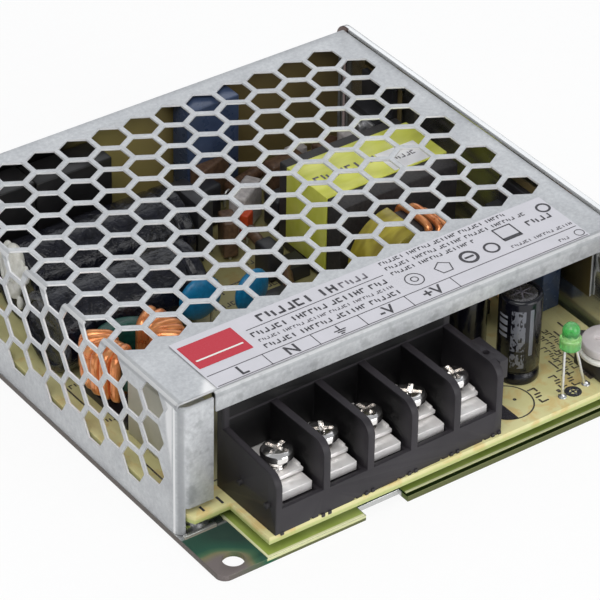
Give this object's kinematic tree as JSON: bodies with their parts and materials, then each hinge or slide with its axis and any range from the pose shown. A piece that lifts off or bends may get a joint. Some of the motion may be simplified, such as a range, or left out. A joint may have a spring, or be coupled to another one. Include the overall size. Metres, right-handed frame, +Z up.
{
  "type": "mesh case switching power supply",
  "caption": "Flat mesh case power supply with an aluminium base, a hexagon perforated cover and a row of screw terminals at one end.",
  "frame": {"origin": "middle of the footprint on the mounting surface", "axes": "+X along the terminal row towards the plain right wall, +Y from the terminals to the rear, +Z up from the mounting face"},
  "size_m": [0.097, 0.099, 0.03],
  "materials": {
    "bare_aluminium": "bright rolled sheet",
    "zinc_sheet": "zinc plated, satin with a fine crystal grain",
    "plain_screws": "plated steel",
    "nickel": "bright nickel plate",
    "label_white": "printed matt label",
    "film": "milky clear film",
    "board": "pale composite board with printed marks",
    "black_moulding": "black moulded plastic, satin",
    "ferrite": "dark sintered core",
    "yellow_tape": "yellow winding tape",
    "green_coat": "green coated core",
    "copper_wire": "enamelled copper wire",
    "grey_box": "pale grey moulded box",
    "black_sleeve": "shrunk black sleeve",
    "can_aluminium": "pressed can top",
    "white_glue": "white silicone glue",
    "blue_coat": "blue dipped coating",
    "dark_coat": "dark green dipped coating",
    "fuse_body": "pale ceramic tube",
    "black_epoxy": "moulded black packages",
    "spring_steel": "plated steel bars",
    "grey_pad": "grey heat pad",
    "navy_box": "dark blue box",
    "amber_film": "brown insulating film",
    "tan_body": "tan resistor bodies",
    "green_lens": "translucent green epoxy",
    "tinned_wire": "tinned wire",
    "white_disc": "white plastic",
    "grey_rotor": "pale grey plastic"
  },
  "bodies": {
    "supply": {"chassis": "bare_aluminium", "cover_top": "zinc_sheet", "cover_side": "zinc_sheet", "cover_rear": "zinc_sheet", "cover_ears": "zinc_sheet", "cover_screws": "plain_screws", "rating_label": "label_white", "insulation_film": "film", "circuit_board": "board", "standoffs": "plain_screws", "board_screws": "plain_screws", "terminal_housing": "black_moulding", "terminal_plates": "nickel", "transformer_core": "ferrite", "transformer_tape": "yellow_tape", "transformer_bobbin": "black_moulding", "transformer_sticker": "label_white", "ring_core": "green_coat", "ring_windings": "copper_wire", "ring_base": "black_moulding", "film_capacitor": "grey_box", "bulk_capacitors": "black_sleeve", "glue_bead": "white_glue", "output_capacitors": "black_sleeve", "capacitor_tops": "can_aluminium", "disc_capacitors": "blue_coat", "thermistor": "dark_coat", "varistor": "blue_coat", "fuse": "fuse_body", "bridge_rectifier": "black_epoxy", "power_transistor": "black_epoxy", "output_diode": "black_epoxy", "clamp_bars": "spring_steel", "insulator_pad": "grey_pad", "clamp_screws": "plain_screws", "inductor_core": "ferrite", "inductor_winding": "copper_wire", "inductor_tape": "yellow_tape", "blue_capacitor": "navy_box", "line_filter": "black_moulding", "rear_liner": "amber_film", "control_chips": "black_epoxy", "small_resistors": "tan_body", "lamp_lens": "green_lens", "lamp_leads": "tinned_wire", "trimmer_base": "black_moulding", "trimmer_disc": "white_disc"},
    "washer_1": {"clamp_washer_1": "nickel"},
    "screw_1": {"terminal_screw_1": "nickel"},
    "washer_2": {"clamp_washer_2": "nickel"},
    "screw_2": {"terminal_screw_2": "nickel"},
    "washer_3": {"clamp_washer_3": "nickel"},
    "screw_3": {"terminal_screw_3": "nickel"},
    "washer_4": {"clamp_washer_4": "nickel"},
    "screw_4": {"terminal_screw_4": "nickel"},
    "washer_5": {"clamp_washer_5": "nickel"},
    "screw_5": {"terminal_screw_5": "nickel"},
    "rotor": {"trimmer_rotor": "grey_rotor"}
  },
  "joints": [
    {"name": "clamp_lift_1", "type": "slide", "parent": "supply", "child": "washer_1", "axis": [0, 0, 1], "range_m": [-0.00035, 0.0026]},
    {"name": "screw_turn_1", "type": "hinge", "parent": "washer_1", "child": "screw_1", "pos_m": [-0.03125, -0.041, 0.014], "axis": [0, 0, 1], "range_deg": [-211, 1561]},
    {"name": "clamp_lift_2", "type": "slide", "parent": "supply", "child": "washer_2", "axis": [0, 0, 1], "range_m": [-0.00035, 0.0026]},
    {"name": "screw_turn_2", "type": "hinge", "parent": "washer_2", "child": "screw_2", "pos_m": [-0.02175, -0.041, 0.014], "axis": [0, 0, 1], "range_deg": [-211, 1561]},
    {"name": "clamp_lift_3", "type": "slide", "parent": "supply", "child": "washer_3", "axis": [0, 0, 1], "range_m": [-0.00035, 0.0026]},
    {"name": "screw_turn_3", "type": "hinge", "parent": "washer_3", "child": "screw_3", "pos_m": [-0.01225, -0.041, 0.014], "axis": [0, 0, 1], "range_deg": [-211, 1561]},
    {"name": "clamp_lift_4", "type": "slide", "parent": "supply", "child": "washer_4", "axis": [0, 0, 1], "range_m": [-0.00035, 0.0026]},
    {"name": "screw_turn_4", "type": "hinge", "parent": "washer_4", "child": "screw_4", "pos_m": [-0.00275, -0.041, 0.014], "axis": [0, 0, 1], "range_deg": [-211, 1561]},
    {"name": "clamp_lift_5", "type": "slide", "parent": "supply", "child": "washer_5", "axis": [0, 0, 1], "range_m": [-0.00035, 0.0026]},
    {"name": "screw_turn_5", "type": "hinge", "parent": "washer_5", "child": "screw_5", "pos_m": [0.00675, -0.041, 0.014], "axis": [0, 0, 1], "range_deg": [-211, 1561]},
    {"name": "trimmer_turn", "type": "hinge", "parent": "supply", "child": "rotor", "pos_m": [0.0404, -0.0437, 0.0095], "axis": [0, 0, 1], "range_deg": [-120, 120]}
  ],
  "couplings": [
    {"joint": "screw_turn_1", "follows": "clamp_lift_1", "rad_per_m": 10472},
    {"joint": "screw_turn_2", "follows": "clamp_lift_2", "rad_per_m": 10472},
    {"joint": "screw_turn_3", "follows": "clamp_lift_3", "rad_per_m": 10472},
    {"joint": "screw_turn_4", "follows": "clamp_lift_4", "rad_per_m": 10472},
    {"joint": "screw_turn_5", "follows": "clamp_lift_5", "rad_per_m": 10472}
  ]
}
